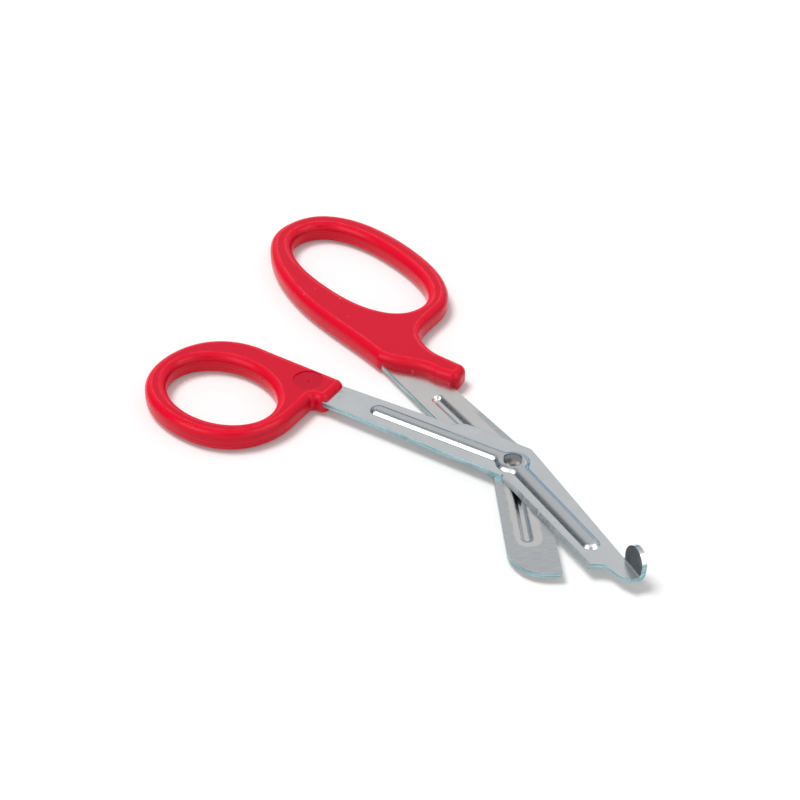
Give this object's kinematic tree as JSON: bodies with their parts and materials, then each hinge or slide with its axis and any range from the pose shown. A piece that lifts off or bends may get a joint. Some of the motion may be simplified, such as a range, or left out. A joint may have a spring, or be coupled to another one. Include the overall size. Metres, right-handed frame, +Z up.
{
  "type": "bandage scissors",
  "caption": "Angled bandage scissors with ribbed steel levers, a folded blunt guard foot on one blade and moulded loop handles, turning on a rivet.",
  "frame": {"origin": "Middle of the bounding box in plan, on the surface that the scissors lie on.", "axes": "X runs along the scissors from the handles to the blades, Y across them in the plane of the blades, Z up out of that plane, along the rivet."},
  "size_m": [0.187, 0.1064, 0.0109],
  "materials": {
    "blade_steel": "satin",
    "handle_plastic": "gloss",
    "rivet_steel": "polished"
  },
  "bodies": {
    "guard_lever": {"guard_blade": "blade_steel", "thumb_handle": "handle_plastic", "pivot_rivet": "rivet_steel"},
    "plain_lever": {"plain_blade": "blade_steel", "finger_handle": "handle_plastic"}
  },
  "joints": [
    {"name": "pivot", "type": "hinge", "parent": "guard_lever", "child": "plain_lever", "pos_m": [0.03758, 0.00733, 0.0033], "axis": [0, 0, 1], "range_deg": [-155, 14.3]}
  ]
}
